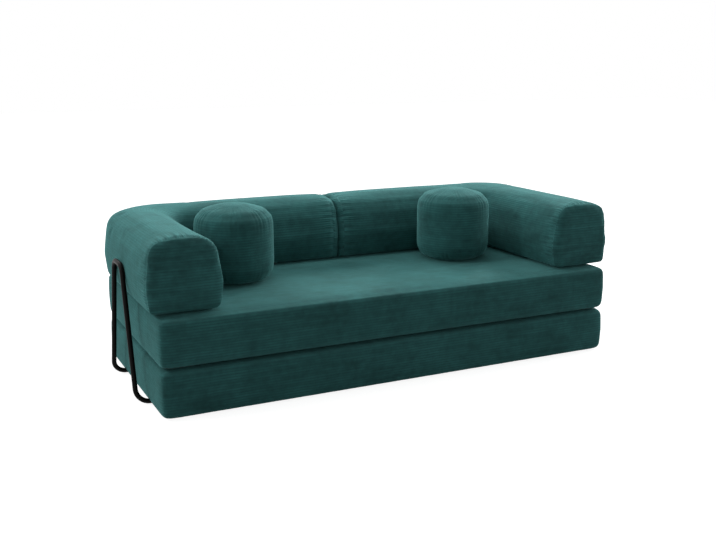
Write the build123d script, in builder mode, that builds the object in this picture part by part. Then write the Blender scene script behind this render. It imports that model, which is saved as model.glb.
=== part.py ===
from build123d import *
import os
from math import asin, cos, degrees, radians, sin

# A low modular sofa bed: two mattresses, one on the other, two L-shaped bolsters that make the arms and
# the back, two round poufs in the corners of the seat, and two bent steel brackets that hold the ends.
# Millimetres. X runs to the right, Y to the back and Z up. The origin is on the floor, in the middle of
# the lower mattress.

# Mattresses
mattress_length = 2100
mattress_depth = 935
mattress_height = 202
mattress_corner_radius = 46
mattress_edge_radius = 34
mattress_draw = 4
mattress_crown = 4
mattress_crown_reach = 90
mattress_corner_pull_share = 0.5

# Bolsters
bolster_width = 312
bolster_height = 298
bolster_end_overhang = 34
bolster_back_overhang = 52
arm_setback = 42
bolster_gap = 14
bolster_outer_corner = 240
bolster_inner_corner = 46
bolster_top_radius = 112
bolster_base_radius = 34
bolster_draw = 13
bolster_end_draw = 7

# Poufs
pouf_diameter = 340
pouf_height = 336
pouf_top_radius = 62
pouf_base_radius = 40
pouf_crown = 16
pouf_crown_share = 0.5
pouf_back_gap = 12.5
pouf_left_gap = 16
pouf_right_gap = 90

# Covers: fabric with the wadding quilted behind it
cover_thickness = 4
foam_clearance = 0.4
rest_clearance = 0.4
end_seam_depth = 16
cut_overrun = 20

# Sections that shape a cushion's edges at its base and top, on the outside and inside the cover
outside_base_steps = 2
outside_top_steps = 4
inside_base_steps = 1
inside_top_steps = 2
mattress_outside_steps = 2
mattress_inside_steps = 1

# Zips
zip_tape_width = 20
zip_tape_thickness = 1
zip_tape_depth = 1.2
zip_coil_width = 6
zip_coil_height = 2.6
zip_coil_bevel = 0.65
zip_end_margin = 8
zip_stop_length = 2
zip_clearance = 0.4
slider_length = 14
slider_width = 11
slider_wall = 1.6
slider_corner_radius = 2.75
cheek_gap = 5
cheek_thickness = 1.5
cheek_length = 4
cheek_height = 4
pull_bar_radius = 1
pull_eye_wall = 0.9
pull_length = 28
pull_width = 7
pull_thickness = 1.2
pull_neck = 6
pull_hole_radius = 1.75
mattress_zip_length = 1500
bolster_zip_length = 620
bolster_zip_height = 66
bolster_zip_inset = 110
pouf_zip_height = 62
pouf_zip_start = -14
pouf_zip_sweep = 168

# Brackets
tube_diameter = 20
tube_wall = 2
bracket_height = 550
bracket_spread = 420
bracket_top_width = 132
bracket_centre = -25
foot_run = 420
foot_bend_radius = 55
top_bend_radius = 46
bracket_clearance = 0.5
plug_head = 3
plug_bevel = 1.5
plug_length = 16
plug_clearance = 0.1
glide_floor = 2.5
glide_length = 34
glide_width = 24
glide_margin = 60
groove_clearance = 2

# Places worked out from the sizes above
lower_base = 0
upper_base = lower_base + mattress_height + rest_clearance
seat_height = upper_base + mattress_height
bolster_base = seat_height + rest_clearance
bolster_outer = mattress_length / 2 + bolster_end_overhang
bolster_rear = mattress_depth / 2 + bolster_back_overhang
bolster_inner = bolster_outer - bolster_width
back_front = bolster_rear - bolster_width
pouf_back = back_front - pouf_back_gap - pouf_diameter / 2
pouf_left_place = -(bolster_inner - pouf_left_gap - pouf_diameter / 2)
pouf_right_place = bolster_inner - pouf_right_gap - pouf_diameter / 2
arm_front = -mattress_depth / 2 + arm_setback
bracket_place = bolster_outer + bracket_clearance + tube_diameter / 2
tube_rise = glide_floor + tube_diameter / 2
core_inset = cover_thickness + foam_clearance
groove_width = glide_width + 2 * groove_clearance
groove_height = tube_rise + tube_diameter / 2 + groove_clearance
groove_length = foot_run + plug_head + mattress_length / 2 - bracket_place + groove_clearance
coil_top = zip_coil_height - zip_tape_depth
slider_floor = zip_clearance - zip_tape_depth
slider_top = coil_top + zip_clearance + slider_wall
bar_rise = slider_top + pull_bar_radius + zip_clearance + pull_eye_wall + zip_clearance


def quarter_round(radius, steps):
    """Rise and pull-in along a quarter-round edge, from its flat underside to its upright side."""
    angles = [radians(90 * step / steps) for step in range(steps + 1)]
    return [(radius * (1 - cos(angle)), radius * (1 - sin(angle))) for angle in angles]


def edge_levels(height, base_radius, top_radius, draw, base_steps, top_steps):
    """Heights of the sections in a cushion's rounded edges, each with how far its side is pulled in."""
    base = [(rise, pull + draw) for rise, pull in quarter_round(base_radius, base_steps)]
    top = [(height - rise, pull + draw) for rise, pull in quarter_round(top_radius, top_steps)]
    return base, top[::-1]


def seam_rise(radius, steps, section):
    """How far from the flat a seam lies that follows one of the sections of a rounded edge."""
    return quarter_round(radius, steps)[section][0]


def fullest_level(height, base_radius, top_radius):
    """The section half-way up the flank, where a cushion's side swells out furthest."""
    return (base_radius + height - top_radius) / 2, 0


def mattress_solid(base, inset, steps, crown):
    """A mattress's form, all its faces moved in by inset; crown is the rise of its top."""
    shoulder = mattress_height - mattress_crown
    radius = mattress_edge_radius
    lower, upper = edge_levels(shoulder, radius, radius, mattress_draw, steps, steps)
    levels = [*lower, fullest_level(shoulder, radius, radius), *upper]
    if crown > 0:
        levels.append((shoulder + crown, radius + mattress_draw + mattress_crown_reach))
    scale = (mattress_height - 2 * inset) / mattress_height
    with BuildPart() as form:
        for rise, pull in levels:
            with BuildSketch(Plane.XY.offset(base + inset + rise * scale)):
                RectangleRounded(
                    mattress_length - 2 * (pull + inset),
                    mattress_depth - 2 * (pull + inset),
                    mattress_corner_radius - inset + pull * mattress_corner_pull_share,
                )
        loft(ruled=True)
    return form.part


def above(solid, plane):
    with BuildPart() as kept:
        add(solid)
        split(bisect_by=plane, keep=Keep.TOP)
    return kept.part


def below(solid, plane):
    with BuildPart() as kept:
        add(solid)
        split(bisect_by=plane, keep=Keep.BOTTOM)
    return kept.part


def less(solid, *cutters):
    with BuildPart() as rest:
        add(solid)
        for cutter in cutters:
            add(cutter, mode=Mode.SUBTRACT)
    return rest.part


def bolster_plan(side, pull, end_pull, inset):
    """Corners and corner radii of a bolster's L-shaped plan: arm, outer corner and half of the back."""
    outer = bolster_outer - pull - inset
    inner = bolster_inner + pull + inset
    rear = bolster_rear - pull - inset
    front = back_front + pull + inset
    arm_end = arm_front + end_pull + inset
    back_end = bolster_gap / 2 + end_pull + inset
    corners = [
        (side * outer, arm_end),
        (side * outer, rear),
        (side * back_end, rear),
        (side * back_end, front),
        (side * inner, front),
        (side * inner, arm_end),
    ]
    outer_radius = bolster_outer_corner - pull - inset
    inner_radius = bolster_inner_corner + pull + inset
    return corners, [0, outer_radius, 0, 0, inner_radius, 0]


def bolster_solid(side, inset, base_steps, top_steps, end_draw, end_pull):
    """A bolster's form, its sides moved in by inset, its ends pulled in and drawn to its base and top."""
    height = bolster_height
    lower, upper = edge_levels(
        height, bolster_base_radius, bolster_top_radius, bolster_draw, base_steps, top_steps
    )
    levels = [*lower, fullest_level(height, bolster_base_radius, bolster_top_radius), *upper]
    scale = (height - 2 * inset) / height
    with BuildPart() as form:
        for rise, pull in levels:
            drawn = end_pull + end_draw * (2 * rise / height - 1) ** 2
            corners, radii = bolster_plan(side, pull, drawn, inset)
            with BuildSketch(Plane.XY.offset(bolster_base + inset + rise * scale)):
                with BuildLine():
                    FilletPolyline(*corners, radius=radii, close=True)
                make_face()
        loft(ruled=True)
    return form.part


def bolster_block(side, inset):
    """The flat-ended form inside a bolster's cover, all its faces moved in by inset."""
    longer = bolster_solid(side, inset, inside_base_steps, inside_top_steps, 0, -cut_overrun)
    cleared = below(longer, Plane.XZ.offset(-(arm_front + bolster_end_draw + inset)))
    back_end = Plane.YZ.offset(side * (bolster_gap / 2 + bolster_end_draw + inset))
    return below(cleared, back_end) if side < 0 else above(cleared, back_end)


def pouf_solid(place, inset, base_steps, top_steps, crown):
    """A pouf's round form, all its faces moved in by inset; crown is the rise of its top."""
    radius = pouf_diameter / 2
    shoulder = pouf_height - pouf_crown
    lower, upper = edge_levels(shoulder, pouf_base_radius, pouf_top_radius, 0, base_steps, top_steps)
    levels = [*lower, *upper]
    if crown > 0:
        disc = radius - pouf_top_radius
        levels.append((shoulder + crown, radius - disc * pouf_crown_share))
    scale = (pouf_height - 2 * inset) / pouf_height
    outline = [(radius - pull - inset, inset + rise * scale) for rise, pull in levels]
    outline.append((0, outline[-1][1]))
    with BuildPart() as form:
        with BuildSketch(Plane((place, pouf_back, bolster_base), x_dir=(1, 0, 0), z_dir=(0, -1, 0))):
            with BuildLine():
                Polyline((0, inset), *outline, close=True)
            make_face()
        revolve(axis=Axis((place, pouf_back, 0), (0, 0, 1)))
    return form.part


def write(solid, name):
    solid.label = name
    export_step(solid, f"parts/{name}.step")


def cover_shell(outer, lining):
    """The whole cover of a cushion: its outside less the space for its filling."""
    with BuildPart() as shell:
        add(outer)
        add(lining, mode=Mode.SUBTRACT)
    return shell.part


def zip_slot(plane, length):
    """The opening in a cover that a straight zip's tape closes."""
    with BuildPart() as slot:
        with BuildSketch(plane):
            Rectangle(length, zip_tape_width)
        extrude(amount=cut_overrun, both=True)
    return slot.part


def zip_tape(plane, length):
    """A straight zip's tape with its closed coil, and a stop at each end of the coil."""
    coil_length = length - 2 * zip_end_margin
    with BuildPart() as tape:
        with BuildSketch(plane.offset(-zip_tape_depth - zip_tape_thickness)):
            Rectangle(length, zip_tape_width)
        extrude(amount=zip_tape_thickness)
        with BuildSketch(plane.offset(-zip_tape_depth)):
            Rectangle(coil_length, zip_coil_width)
        extrude(amount=zip_coil_height)
        chamfer(tape.faces().sort_by(Axis(plane.origin, plane.z_dir))[-1].edges(), zip_coil_bevel)
        with BuildSketch(plane.offset(-zip_tape_depth)):
            with GridLocations(coil_length + zip_stop_length, 0, 2, 1):
                Rectangle(zip_stop_length, slider_width)
        extrude(amount=zip_coil_height)
    return tape.part


def zip_slider(plane):
    """A slider that straddles the coil, with two cheeks and a bar that carry the pull."""
    tunnel = zip_coil_width + 2 * zip_clearance
    with BuildPart() as slider:
        with BuildSketch(plane.offset(slider_floor)):
            RectangleRounded(slider_length, slider_width, slider_corner_radius)
        extrude(amount=slider_top - slider_floor)
        with BuildSketch(plane.offset(slider_floor)):
            Rectangle(slider_length + cut_overrun, tunnel)
        extrude(amount=coil_top + zip_clearance - slider_floor, mode=Mode.SUBTRACT)
        with BuildSketch(plane.offset(slider_top)):
            with GridLocations(0, cheek_gap + cheek_thickness, 1, 2):
                Rectangle(cheek_length, cheek_thickness)
        extrude(amount=cheek_height)
        with BuildSketch(Plane(bar_centre(plane), x_dir=plane.x_dir, z_dir=plane.y_dir)):
            Circle(pull_bar_radius)
        extrude(amount=(cheek_gap + cheek_thickness) / 2, both=True)
    return slider.part


def bar_centre(plane):
    return plane.origin + plane.z_dir * bar_rise


def zip_pull(plane):
    """A flat pull whose eye hangs on the slider's bar, with a hole near its free end."""
    eye_hole = pull_bar_radius + zip_clearance
    eye_width = cheek_gap - 2 * zip_clearance
    centre = bar_centre(plane)
    with BuildPart() as pull:
        with BuildSketch(Plane(centre, x_dir=plane.x_dir, z_dir=plane.y_dir)):
            Circle(eye_hole + pull_eye_wall)
        extrude(amount=eye_width / 2, both=True)
        with BuildSketch(Plane(centre, x_dir=plane.x_dir, z_dir=plane.z_dir)):
            with Locations((-pull_neck / 2, 0)):
                Rectangle(pull_neck, eye_width)
            with Locations((-(pull_neck + pull_length) / 2, 0)):
                Rectangle(pull_length - pull_neck, pull_width)
            with Locations((-pull_length + pull_width / 2, 0)):
                RegularPolygon(pull_hole_radius, 6, mode=Mode.SUBTRACT)
        extrude(amount=pull_thickness / 2, both=True)
        with BuildSketch(Plane(centre, x_dir=plane.x_dir, z_dir=plane.y_dir)):
            Circle(eye_hole)
        extrude(amount=eye_width, both=True, mode=Mode.SUBTRACT)
    return pull.part


def write_straight_zip(owner, plane, length, rest):
    """Tape, slider and pull of a straight zip; rest is the slider's place along it when closed."""
    write(zip_tape(plane, length), f"{owner}_zip_tape")
    slider_plane = Plane(plane.origin + plane.x_dir * rest, x_dir=plane.x_dir, z_dir=plane.z_dir)
    write(zip_slider(slider_plane), f"{owner}_zip_slider")
    write(zip_pull(slider_plane), f"{owner}_zip_pull")


def foot_places():
    """Where the brackets' runs lie under the lower mattress, as side and Y."""
    half_spread = bracket_spread / 2
    return [(side, bracket_centre + along) for side in (-1, 1) for along in (-half_spread, half_spread)]


def groove_boxes(margin):
    """The grooves that the brackets' runs press into the underside, widened and deepened by margin."""
    length = groove_length + cut_overrun
    with BuildPart() as grooves:
        for side, along in foot_places():
            middle = side * (mattress_length / 2 + cut_overrun - length / 2)
            with BuildSketch(Plane.XY.offset(lower_base - cut_overrun)):
                with Locations((middle, along)):
                    Rectangle(length, groove_width + 2 * margin)
            extrude(amount=cut_overrun + groove_height + margin)
    return grooves.part


def make_mattress(name, base, grooved):
    """One mattress: foam core, top, border and base panels of the cover, and the zip in the rear border."""
    outer = mattress_solid(base, 0, mattress_outside_steps, mattress_crown)
    lining = mattress_solid(base, cover_thickness, mattress_inside_steps, 0)
    core = mattress_solid(base, core_inset, mattress_inside_steps, 0)
    shell = cover_shell(outer, lining)
    seam = seam_rise(mattress_edge_radius, mattress_outside_steps, 1)
    base_plane = Plane.XY.offset(base + seam)
    top_plane = Plane.XY.offset(base + mattress_height - mattress_crown - seam)
    zip_height = (mattress_height - mattress_crown) / 2
    zip_plane = Plane((0, mattress_depth / 2, base + zip_height), x_dir=(-1, 0, 0), z_dir=(0, 1, 0))
    top = above(shell, top_plane)
    border = less(below(above(shell, base_plane), top_plane), zip_slot(zip_plane, mattress_zip_length))
    bottom = below(shell, base_plane)
    if grooved:
        cloth = groove_boxes(cover_thickness)
        groove = groove_boxes(0)
        core = less(core, groove_boxes(core_inset))
        border = less(border, cloth)
        with BuildPart() as lined:
            add(cloth)
            add(outer, mode=Mode.INTERSECT)
            add(bottom)
            add(groove, mode=Mode.SUBTRACT)
        bottom = lined.part
    write(core, f"{name}_foam_core")
    write(top, f"{name}_cover_top")
    write(border, f"{name}_cover_border")
    write(bottom, f"{name}_cover_base")
    closed = slider_length - mattress_zip_length / 2 + zip_end_margin
    write_straight_zip(name, zip_plane, mattress_zip_length, closed)


def make_bolster(name, side):
    """One bolster: foam core, wrap, two end panels and base panel of the cover, and the zip low at the rear."""
    outer = bolster_solid(side, 0, outside_base_steps, outside_top_steps, bolster_end_draw, 0)
    shell = cover_shell(outer, bolster_block(side, cover_thickness))
    arm_seam = Plane.XZ.offset(-(arm_front + end_seam_depth))
    back_seam = Plane.YZ.offset(side * (bolster_gap / 2 + end_seam_depth))
    seam = seam_rise(bolster_base_radius, outside_base_steps, 1)
    base_seam = Plane.XY.offset(bolster_base + seam)
    front_end = above(shell, arm_seam)
    without_front = below(shell, arm_seam)
    if side < 0:
        inner_end = above(without_front, back_seam)
        tube = below(without_front, back_seam)
    else:
        inner_end = below(without_front, back_seam)
        tube = above(without_front, back_seam)
    flank = (bolster_height - bolster_top_radius - bolster_base_radius) / 2
    zip_share = 1 - (bolster_zip_height - bolster_base_radius) / flank
    zip_middle = side * (bolster_gap / 2 + bolster_zip_inset + bolster_zip_length / 2)
    zip_plane = Plane(
        (zip_middle, bolster_rear - bolster_draw * zip_share, bolster_base + bolster_zip_height),
        x_dir=(-1, 0, 0),
        z_dir=(0, 1, 0),
    )
    write(bolster_block(side, core_inset), f"{name}_foam_core")
    write(less(above(tube, base_seam), zip_slot(zip_plane, bolster_zip_length)), f"{name}_cover_wrap")
    write(below(tube, base_seam), f"{name}_cover_base")
    write(front_end, f"{name}_cover_front_end")
    write(inner_end, f"{name}_cover_inner_end")
    closed = slider_length - bolster_zip_length / 2 + zip_end_margin
    write_straight_zip(name, zip_plane, bolster_zip_length, closed)


def turned_band(place, inner, outer, width, start, sweep):
    """A flat band that follows the pouf's zip, from start through sweep degrees."""
    start_plane = Plane(
        (place, pouf_back, bolster_base + pouf_zip_height),
        x_dir=(cos(radians(start)), sin(radians(start)), 0),
        z_dir=(sin(radians(start)), -cos(radians(start)), 0),
    )
    with BuildPart() as band:
        with BuildSketch(start_plane):
            with Locations(((inner + outer) / 2, 0)):
                Rectangle(outer - inner, width)
        revolve(axis=Axis((place, pouf_back, 0), (0, 0, 1)), revolution_arc=sweep)
    return band.part


def make_pouf(name, place):
    """One pouf: filling, top disc, band and base disc of the cover, and the zip round the back of the band."""
    outer = pouf_solid(place, 0, outside_base_steps, outside_top_steps, pouf_crown)
    lining = pouf_solid(place, cover_thickness, inside_base_steps, inside_top_steps, 0)
    shell = cover_shell(outer, lining)
    base_seam = seam_rise(pouf_base_radius, outside_base_steps, 1)
    top_seam = seam_rise(pouf_top_radius, outside_top_steps, 2)
    base_plane = Plane.XY.offset(bolster_base + base_seam)
    top_plane = Plane.XY.offset(bolster_base + pouf_height - pouf_crown - top_seam)
    radius = pouf_diameter / 2
    margin = degrees(asin(zip_end_margin / radius))
    slot = turned_band(
        place,
        radius - cut_overrun,
        radius + cut_overrun,
        zip_tape_width,
        pouf_zip_start,
        pouf_zip_sweep,
    )
    tape = turned_band(
        place,
        radius - zip_tape_depth - zip_tape_thickness,
        radius - zip_tape_depth,
        zip_tape_width,
        pouf_zip_start,
        pouf_zip_sweep,
    )
    coil = turned_band(
        place,
        radius - zip_tape_depth,
        radius + coil_top,
        zip_coil_width,
        pouf_zip_start + margin,
        pouf_zip_sweep - 2 * margin,
    )
    with BuildPart() as zipped:
        add(tape)
        add(coil)
    filling = pouf_solid(place, core_inset, inside_base_steps, inside_top_steps, 0)
    write(filling, f"{name}_filling")
    write(above(shell, top_plane), f"{name}_cover_top")
    write(less(below(above(shell, base_plane), top_plane), slot), f"{name}_cover_band")
    write(below(shell, base_plane), f"{name}_cover_base")
    write(zipped.part, f"{name}_zip_tape")
    closed = pouf_zip_start + margin + degrees(asin(slider_length / radius))
    slider_plane = Plane(
        (
            place + radius * cos(radians(closed)),
            pouf_back + radius * sin(radians(closed)),
            bolster_base + pouf_zip_height,
        ),
        x_dir=(-sin(radians(closed)), cos(radians(closed)), 0),
        z_dir=(cos(radians(closed)), sin(radians(closed)), 0),
    )
    write(zip_slider(slider_plane), f"{name}_zip_slider")
    write(zip_pull(slider_plane), f"{name}_zip_pull")


def make_bracket(name, side):
    """One bracket: a tube bent into a hairpin with two runs along the floor, its plugs and its glides."""
    run_end = bracket_place - foot_run
    low = bracket_spread / 2
    high = bracket_top_width / 2
    top = bracket_height - tube_diameter / 2
    corners = [
        (side * run_end, bracket_centre - low, tube_rise),
        (side * bracket_place, bracket_centre - low, tube_rise),
        (side * bracket_place, bracket_centre - high, top),
        (side * bracket_place, bracket_centre + high, top),
        (side * bracket_place, bracket_centre + low, tube_rise),
        (side * run_end, bracket_centre + low, tube_rise),
    ]
    with BuildPart() as tube:
        with BuildLine() as path:
            FilletPolyline(
                *corners, radius=[foot_bend_radius, top_bend_radius, top_bend_radius, foot_bend_radius]
            )
        with BuildSketch(Plane(corners[0], z_dir=(side, 0, 0))):
            Circle(tube_diameter / 2)
        sweep(path=path.wire())
        for corner in (corners[0], corners[-1]):
            with BuildSketch(Plane(corner, z_dir=(side, 0, 0))):
                Circle(tube_diameter / 2 - tube_wall)
            extrude(amount=plug_length + plug_clearance, mode=Mode.SUBTRACT)
    write(tube.part, f"{name}_tube")

    ends = [corners[0][1], corners[-1][1]]
    with BuildPart() as plugs:
        for along in ends:
            with BuildSketch(Plane((side * run_end, along, tube_rise), z_dir=(-side, 0, 0))) as head:
                Circle(tube_diameter / 2)
            extrude(head.sketch, amount=plug_head)
            with BuildSketch(Plane((side * run_end, along, tube_rise), z_dir=(side, 0, 0))) as stem:
                Circle(tube_diameter / 2 - tube_wall - plug_clearance)
            extrude(stem.sketch, amount=plug_length)
        rims = plugs.edges().filter_by(GeomType.CIRCLE).group_by(Axis.X)[-1 if side < 0 else 0]
        chamfer(rims, plug_bevel)
    write(plugs.part, f"{name}_end_plugs")

    straight = foot_run - foot_bend_radius
    with BuildPart() as glides:
        for along in ends:
            for place in (glide_margin, straight - glide_margin):
                middle = (side * (run_end + place), along)
                with BuildSketch(Plane.XY) as pad:
                    with Locations(middle):
                        Rectangle(glide_length, glide_width)
                extrude(pad.sketch, amount=tube_rise - tube_wall)
            with BuildSketch(Plane((side * run_end, along, tube_rise), z_dir=(side, 0, 0))) as seat:
                Circle(tube_diameter / 2)
            extrude(seat.sketch, amount=straight, mode=Mode.SUBTRACT)
    write(glides.part, f"{name}_floor_glides")


os.makedirs("parts", exist_ok=True)
make_mattress("lower_mattress", lower_base, True)
make_mattress("upper_mattress", upper_base, False)
make_bolster("left_bolster", -1)
make_bolster("right_bolster", 1)
make_pouf("left_pouf", pouf_left_place)
make_pouf("right_pouf", pouf_right_place)
make_bracket("left_bracket", -1)
make_bracket("right_bracket", 1)
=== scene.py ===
"""Looks of the modular sofa bed: ribbed corduroy covers, fillings, zips, steel brackets and the studio.

Lengths are in metres unless a name or comment says otherwise.
"""

import math

import bmesh
import bpy
import numpy as np
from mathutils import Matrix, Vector


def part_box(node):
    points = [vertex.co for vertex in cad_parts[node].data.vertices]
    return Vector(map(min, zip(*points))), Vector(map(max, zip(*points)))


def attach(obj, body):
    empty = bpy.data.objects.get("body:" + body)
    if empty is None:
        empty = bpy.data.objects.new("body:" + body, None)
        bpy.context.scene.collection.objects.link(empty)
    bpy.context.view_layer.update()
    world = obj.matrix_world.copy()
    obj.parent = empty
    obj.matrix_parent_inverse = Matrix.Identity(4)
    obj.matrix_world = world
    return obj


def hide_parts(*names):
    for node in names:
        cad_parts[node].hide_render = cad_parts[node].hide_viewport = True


bl_info = {
    "name": "Modular sofa bed",
    "version": (1, 0, 0),
    "blender": (4, 5, 0),
    "location": "3D View > Sidebar > Sofa bed",
    "description": "Dresses a modular sofa bed: mattresses, bolsters, poufs, zips and brackets",
    "category": "Object",
}

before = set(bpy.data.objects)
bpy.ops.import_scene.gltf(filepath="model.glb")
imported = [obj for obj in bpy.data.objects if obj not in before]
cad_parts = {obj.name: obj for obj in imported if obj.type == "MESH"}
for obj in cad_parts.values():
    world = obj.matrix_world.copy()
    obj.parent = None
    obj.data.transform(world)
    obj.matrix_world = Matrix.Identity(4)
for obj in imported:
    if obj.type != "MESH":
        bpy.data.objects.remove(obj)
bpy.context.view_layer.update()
SIDES = (("left", -1), ("right", 1))
MATTRESSES = ("lower_mattress", "upper_mattress")

# A cover's edges: the share of its depth that a point by a face keeps, and how far in that reaches.
MATTRESS_EDGE = (0.42, 0.09)
BOLSTER_FOOT = (0.5, 0.08)
BOLSTER_SHOULDER = (0.66, 0.13)

# How far a cover's seams lie in from the box of its panels.
MATTRESS_BASE_SEAM, MATTRESS_TOP_SEAM = 0.012, 0.014
BOLSTER_BASE_SEAM, BOLSTER_END_SEAM = 0.011, 0.022
POUF_BASE_SEAM, POUF_TOP_SEAM = 0.012, 0.040

# How strongly a seam gathers the cloth, as a share of the pucker depth, and how far in the gathers reach.
MATTRESS_BASE_PULL, MATTRESS_TOP_PULL = (0.6, 0.022), (0.6, 0.026)
BOLSTER_FRONT_PULL, BOLSTER_INNER_PULL, BOLSTER_BASE_PULL = (0.8, 0.030), (1.1, 0.034), (0.5, 0.02)
POUF_TOP_PULL, POUF_BASE_PULL = (2.2, 0.036), (2.2, 0.03)

# The bolster's back ends this far from the middle of the sofa, and its base is pressed flat by its sag.
BACK_GAP, BOLSTER_SAG = 0.007, 0.003

# How far from a bolster's end seam the cloth is pleated, and how far beyond the seam the end panel starts.
PLEAT_REACH, PLEAT_TURN = 0.045, 0.008

# How far a filling is drawn in, so that no point of it comes through its cover.
FILLING_SLACK = 0.018

# A pouf's base: its sag, how much narrower it is than the pouf, and how far up that reaches.
POUF_SAG, POUF_TUCK, TUCK_HEIGHT = 0.004, 0.13, 0.085

# A face whose normal's height is under this looks down.
FACES_DOWN = -0.8

# The filling of a cover is simulated for this many frames.
FILL_FRAMES = 20

# Points of a CAD mesh that are closer than this are one point.
WELD = 0.00002

# How far from a seam the pile is worn.
SEAM_WEAR = 0.02

# The room left round a zip tape, and how far past the cover a cutter reaches.
ZIP_ROOM, CUT_REACH = 0.0006, 0.05

# The studio's softboxes: name, place, what it faces, width and height, and power in watts.
SOFTBOXES = (
    ("left_softbox", (-3.8, 0.3, 2.6), (0, 0, 0.4), (0.6, 0.6), 34),
    ("left_rear_softbox", (-3.2, 1.6, 2.6), (-0.4, 0, 0.5), (2.0, 1.6), 16),
    ("right_softbox", (3.6, 0.0, 2.6), (0.2, 0, 0.4), (0.6, 0.6), 30),
    ("right_rear_softbox", (3.0, 2.2, 2.6), (0.2, 0, 0.4), (0.6, 0.6), 41),
    ("right_low_softbox", (4.2, -0.2, 1.7), (0.6, 0, 0.45), (2.0, 1.8), 21),
    ("overhead_softbox", (0.0, 0.4, 3.6), (0, 0.2, 0.4), (2.6, 1.6), 23),
    ("rear_softbox", (0.0, 2.6, 2.8), (0, 0.1, 0.5), (3.0, 1.4), 38),
)


def linear(hex_colour):
    """A colour written as sRGB hex, in the linear values that shaders use."""
    parts = [int(hex_colour[i : i + 2], 16) / 255 for i in (1, 3, 5)]
    return tuple(p / 12.92 if p <= 0.04045 else ((p + 0.055) / 1.055) ** 2.4 for p in parts)


def colour(name, description, hex_colour):
    """A colour setting."""
    start = linear(hex_colour)
    return bpy.props.FloatVectorProperty(
        name=name, description=description, subtype="COLOR", size=3, min=0, max=1, default=start
    )


def length(name, description, metres):
    """A length setting."""
    return bpy.props.FloatProperty(
        name=name, description=description, default=metres, min=0, unit="LENGTH", precision=4
    )


class SofaClothSettings(bpy.types.PropertyGroup):
    """The corduroy and how its covers are filled and sewn."""

    pile: colour("Pile", "The ribs of the corduroy, seen square on", "#306463")
    furrow: colour("Furrow", "The ground between two ribs", "#193838")
    nap: colour("Nap", "The tips of the pile where they catch the light from the side", "#75B9B8")
    rib_spacing: length("Rib spacing", "From one rib of the corduroy to the next", 0.011)
    rib_height: length("Rib height", "How far a rib stands over its furrow", 0.0011)
    swell: length("Swell", "How far the filling pushes a cover out", 0.005)
    pucker_depth: length("Pucker depth", "How deep the gathers beside a seam are", 0.0022)
    pucker_spacing: length("Pucker spacing", "From one gather beside a seam to the next", 0.026)
    seam_depth: length("Seam depth", "How deep a seam draws into the cover", 0.003)
    seam_width: length("Seam width", "Half the width of the furrow along a seam", 0.009)
    mattress_grain: length("Mattress mesh", "The mattress cover's mesh before it is divided", 0.016)
    bolster_grain: length("Bolster mesh", "The bolster cover's mesh before it is divided", 0.013)
    pouf_grain: length("Pouf mesh", "The pouf cover's mesh before it is divided", 0.010)


class SofaMetalSettings(bpy.types.PropertyGroup):
    """The finishes of the brackets and the zips."""

    coat: colour("Powder coat", "The satin coat on the bent tubes", "#0C0B0B")
    plastic: colour("Plastic", "End plugs and floor glides", "#17181A")
    slider: colour("Zip slider", "The lacquered slider and pull", "#2B4546")
    tape: colour("Zip tape", "The woven tape and its coil", "#1F5254")
    foam: colour("Foam", "The cut polyurethane foam of the cores", "#E4DFC4")
    fibre: colour("Fibre", "The bag of polyester fibre in a pouf", "#E8E8E2")


class SofaStageSettings(bpy.types.PropertyGroup):
    """Camera, lamps and floor of the studio."""

    focal_length: bpy.props.FloatProperty(
        name="Focal length", description="The camera's focal length", default=47.44, unit="CAMERA"
    )
    camera_place: bpy.props.FloatVectorProperty(
        name="Camera place",
        description="Where the camera stands",
        default=(-1.856, -3.785, 1.353),
        unit="LENGTH",
    )
    camera_turn: bpy.props.FloatProperty(
        name="Camera turn",
        description="From facing the back to the right",
        default=math.radians(26.06),
        unit="ROTATION",
    )
    camera_tilt: bpy.props.FloatProperty(
        name="Camera tilt", description="Down from level", default=math.radians(12.81), unit="ROTATION"
    )
    floor: colour("Floor", "The pale studio floor", "#A2A2A2")


def add(tree, kind, sockets=None, **settings):
    """Adds a node with its own settings.

    Sockets maps inputs to values, to other nodes' outputs, or to nodes, which stand for their first output.
    """
    made = tree.nodes.new("ShaderNode" + kind)
    for name, value in settings.items():
        setattr(made, name, value)
    for name, value in (sockets or {}).items():
        socket = made.inputs[name]
        if isinstance(value, bpy.types.Node):
            value = value.outputs[0]
        if isinstance(value, bpy.types.NodeSocket):
            tree.links.new(value, socket)
        elif getattr(socket, "type", "") == "RGBA" and len(value) == 3:
            socket.default_value = (*value, 1)
        else:
            socket.default_value = value
    return made


def bands(millimetres):
    """The scale that gives a wave texture one band in each length."""
    return math.pi / 10 / (millimetres / 1000)


def spots(millimetres):
    """The scale that gives a noise or Voronoi texture one spot in each length."""
    return 1000 / millimetres


def seen_directly(tree):
    """1 for rays from the camera, from a reflection or through a clear piece, and 0 for the rest."""
    rays = add(tree, "LightPath")
    seen = rays.outputs["Is Camera Ray"]
    for kind in ("Is Glossy Ray", "Is Transmission Ray"):
        seen = add(tree, "Math", {0: seen, 1: rays.outputs[kind]}, operation="MAXIMUM")
    return seen


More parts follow.
